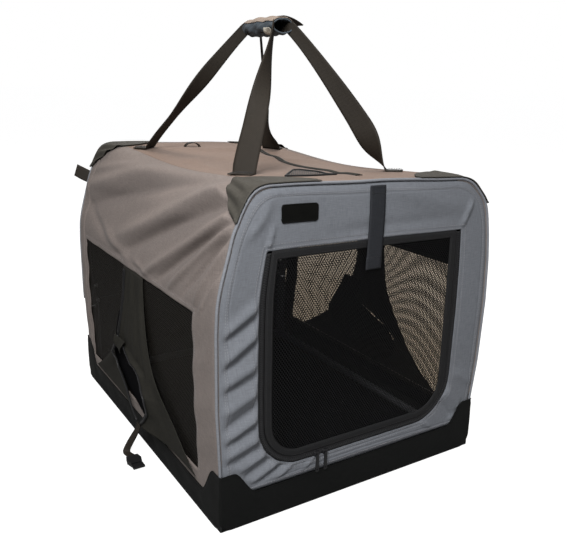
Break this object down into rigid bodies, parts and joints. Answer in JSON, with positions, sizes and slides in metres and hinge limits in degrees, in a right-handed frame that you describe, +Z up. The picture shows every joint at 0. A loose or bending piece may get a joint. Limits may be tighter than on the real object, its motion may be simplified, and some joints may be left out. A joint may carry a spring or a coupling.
{
  "type": "soft folding dog crate",
  "caption": "Soft folding dog crate: grey cloth cover with net door and windows on a folding steel tube frame, black boot and padded carry handle.",
  "frame": {"origin": "middle of the boot's flat underside", "axes": "X to the crate's right as seen from the front, Y from the front door to the rear, Z up"},
  "size_m": [0.6316, 0.6931, 0.7688],
  "materials": {
    "cover fabric": "woven polyester, taupe grey, dull",
    "boot fabric": "coated black woven fabric, slight sheen",
    "net": "black polyester hexagon net",
    "webbing": "dark brown-black woven webbing",
    "frame steel": "powder-coated grey steel tube",
    "black plastic": "moulded black plastic",
    "zip metal": "black lacquered zinc",
    "label": "bare dark woven patch",
    "grip fabric": "padded blue-grey fabric with a beige top"
  },
  "bodies": {
    "base": {"boot": "boot fabric", "floor_board": "boot fabric", "base_frame": "frame steel", "front_hinge_bracket_left": "frame steel", "front_hinge_pin_left": "frame steel", "front_hinge_bracket_right": "frame steel", "front_hinge_pin_right": "frame steel", "rear_hinge_bracket_left": "frame steel", "rear_hinge_pin_left": "frame steel", "rear_hinge_bracket_right": "frame steel", "rear_hinge_pin_right": "frame steel", "rear_post_left": "frame steel", "rear_post_right": "frame steel", "rear_lower_panel": "cover fabric", "roof_panel": "cover fabric", "side_panel_left": "cover fabric", "side_net_left": "net", "side_panel_right": "cover fabric", "side_net_right": "net", "corner_patch_front_left": "boot fabric", "corner_patch_front_right": "boot fabric", "corner_patch_rear_left": "boot fabric", "corner_patch_rear_right": "boot fabric", "roof_zip": "black plastic", "roof_vent": "net", "handle_strap_left": "webbing", "handle_strap_right": "webbing", "grip_sleeve": "grip fabric", "roof_loop": "webbing"},
    "front_hoop": {"front_hoop": "frame steel", "front_panel": "cover fabric", "front_zip_chain": "black plastic", "label_patch": "label"},
    "rear_hoop": {"rear_hoop": "frame steel", "rear_panel": "cover fabric", "rear_net": "net", "rear_loop": "webbing"},
    "front_door": {"door_binding": "boot fabric", "door_net": "net"},
    "tie_strap": {"door_tie_strap": "webbing"},
    "grip_tongue": {"grip_tongue": "boot fabric"},
    "slider_left": {"zip_slider_left": "zip metal"},
    "pull_left": {"pull_tab_left": "zip metal"},
    "flap_left": {"side_flap_left": "boot fabric", "flap_tie_left": "webbing", "buckle_socket_left": "black plastic"},
    "plug_left": {"buckle_plug_left": "black plastic"},
    "front_button_left": {"front_release_button_left": "black plastic"},
    "rear_button_left": {"rear_release_button_left": "black plastic"},
    "slider_right": {"zip_slider_right": "zip metal"},
    "pull_right": {"pull_tab_right": "zip metal"},
    "flap_right": {"side_flap_right": "boot fabric", "flap_tie_right": "webbing", "buckle_socket_right": "black plastic"},
    "plug_right": {"buckle_plug_right": "black plastic"},
    "front_button_right": {"front_release_button_right": "black plastic"},
    "rear_button_right": {"rear_release_button_right": "black plastic"}
  },
  "joints": [
    {"name": "front_hoop_fold", "type": "hinge", "parent": "base", "child": "front_hoop", "pos_m": [0, -0.3187, 0.05], "axis": [1, 0, 0], "range_deg": [-90, 0], "deforming": ["roof_panel", "side_panel_left", "side_net_left", "side_panel_right", "side_net_right", "corner_patch_front_left", "corner_patch_front_right", "corner_patch_rear_left", "corner_patch_rear_right", "roof_zip", "roof_vent", "handle_strap_left", "handle_strap_right", "grip_sleeve", "roof_loop"]},
    {"name": "rear_hoop_fold", "type": "hinge", "parent": "base", "child": "rear_hoop", "pos_m": [0, 0.3187, 0.18], "axis": [1, 0, 0], "range_deg": [0, 90]},
    {"name": "door_swing", "type": "hinge", "parent": "front_hoop", "child": "front_door", "pos_m": [0, -0.33, 0.429], "axis": [-1, 0, 0], "range_deg": [0, 150]},
    {"name": "tie_swing", "type": "hinge", "parent": "front_hoop", "child": "tie_strap", "pos_m": [0.008, -0.3325, 0.512], "axis": [-1, 0, 0], "range_deg": [0, 150]},
    {"name": "grip_tongue_swing", "type": "hinge", "parent": "base", "child": "grip_tongue", "pos_m": [0.02718, 0, 0.752], "axis": [0, -1, 0], "range_deg": [-80, 60]},
    {"name": "slider_left_slide", "type": "slide", "parent": "front_hoop", "child": "slider_left", "axis": [-1, 0, 0], "range_m": [0, 0.02]},
    {"name": "pull_left_swing", "type": "hinge", "parent": "slider_left", "child": "pull_left", "pos_m": [-0.089, -0.3349, 0.087], "axis": [-1, 0, 0], "range_deg": [0, 150]},
    {"name": "flap_left_swing", "type": "hinge", "parent": "base", "child": "flap_left", "pos_m": [-0.2599, 0, 0.33], "axis": [0, 1, 0], "range_deg": [0, 120]},
    {"name": "buckle_left_slide", "type": "slide", "parent": "flap_left", "child": "plug_left", "axis": [0, -1, 0], "range_m": [0, 0.02]},
    {"name": "front_button_left_press", "type": "slide", "parent": "front_hoop", "child": "front_button_left", "axis": [-1, 0, 0], "range_m": [0, 0.004], "stiffness_N_per_m": 300},
    {"name": "rear_button_left_press", "type": "slide", "parent": "rear_hoop", "child": "rear_button_left", "axis": [-1, 0, 0], "range_m": [0, 0.004], "stiffness_N_per_m": 300},
    {"name": "slider_right_slide", "type": "slide", "parent": "front_hoop", "child": "slider_right", "axis": [1, 0, 0], "range_m": [0, 0.185]},
    {"name": "pull_right_swing", "type": "hinge", "parent": "slider_right", "child": "pull_right", "pos_m": [-0.073, -0.3349, 0.087], "axis": [-1, 0, 0], "range_deg": [0, 150]},
    {"name": "flap_right_swing", "type": "hinge", "parent": "base", "child": "flap_right", "pos_m": [0.2599, 0, 0.33], "axis": [0, -1, 0], "range_deg": [0, 120]},
    {"name": "buckle_right_slide", "type": "slide", "parent": "flap_right", "child": "plug_right", "axis": [0, -1, 0], "range_m": [0, 0.02]},
    {"name": "front_button_right_press", "type": "slide", "parent": "front_hoop", "child": "front_button_right", "axis": [1, 0, 0], "range_m": [0, 0.004], "stiffness_N_per_m": 300},
    {"name": "rear_button_right_press", "type": "slide", "parent": "rear_hoop", "child": "rear_button_right", "axis": [1, 0, 0], "range_m": [0, 0.004], "stiffness_N_per_m": 300}
  ],
  "couplings": [
    {"joint": "rear_hoop_fold", "follows": "front_hoop_fold", "ratio": -1},
    {"joint": "tie_swing", "follows": "door_swing", "ratio": 1}
  ]
}
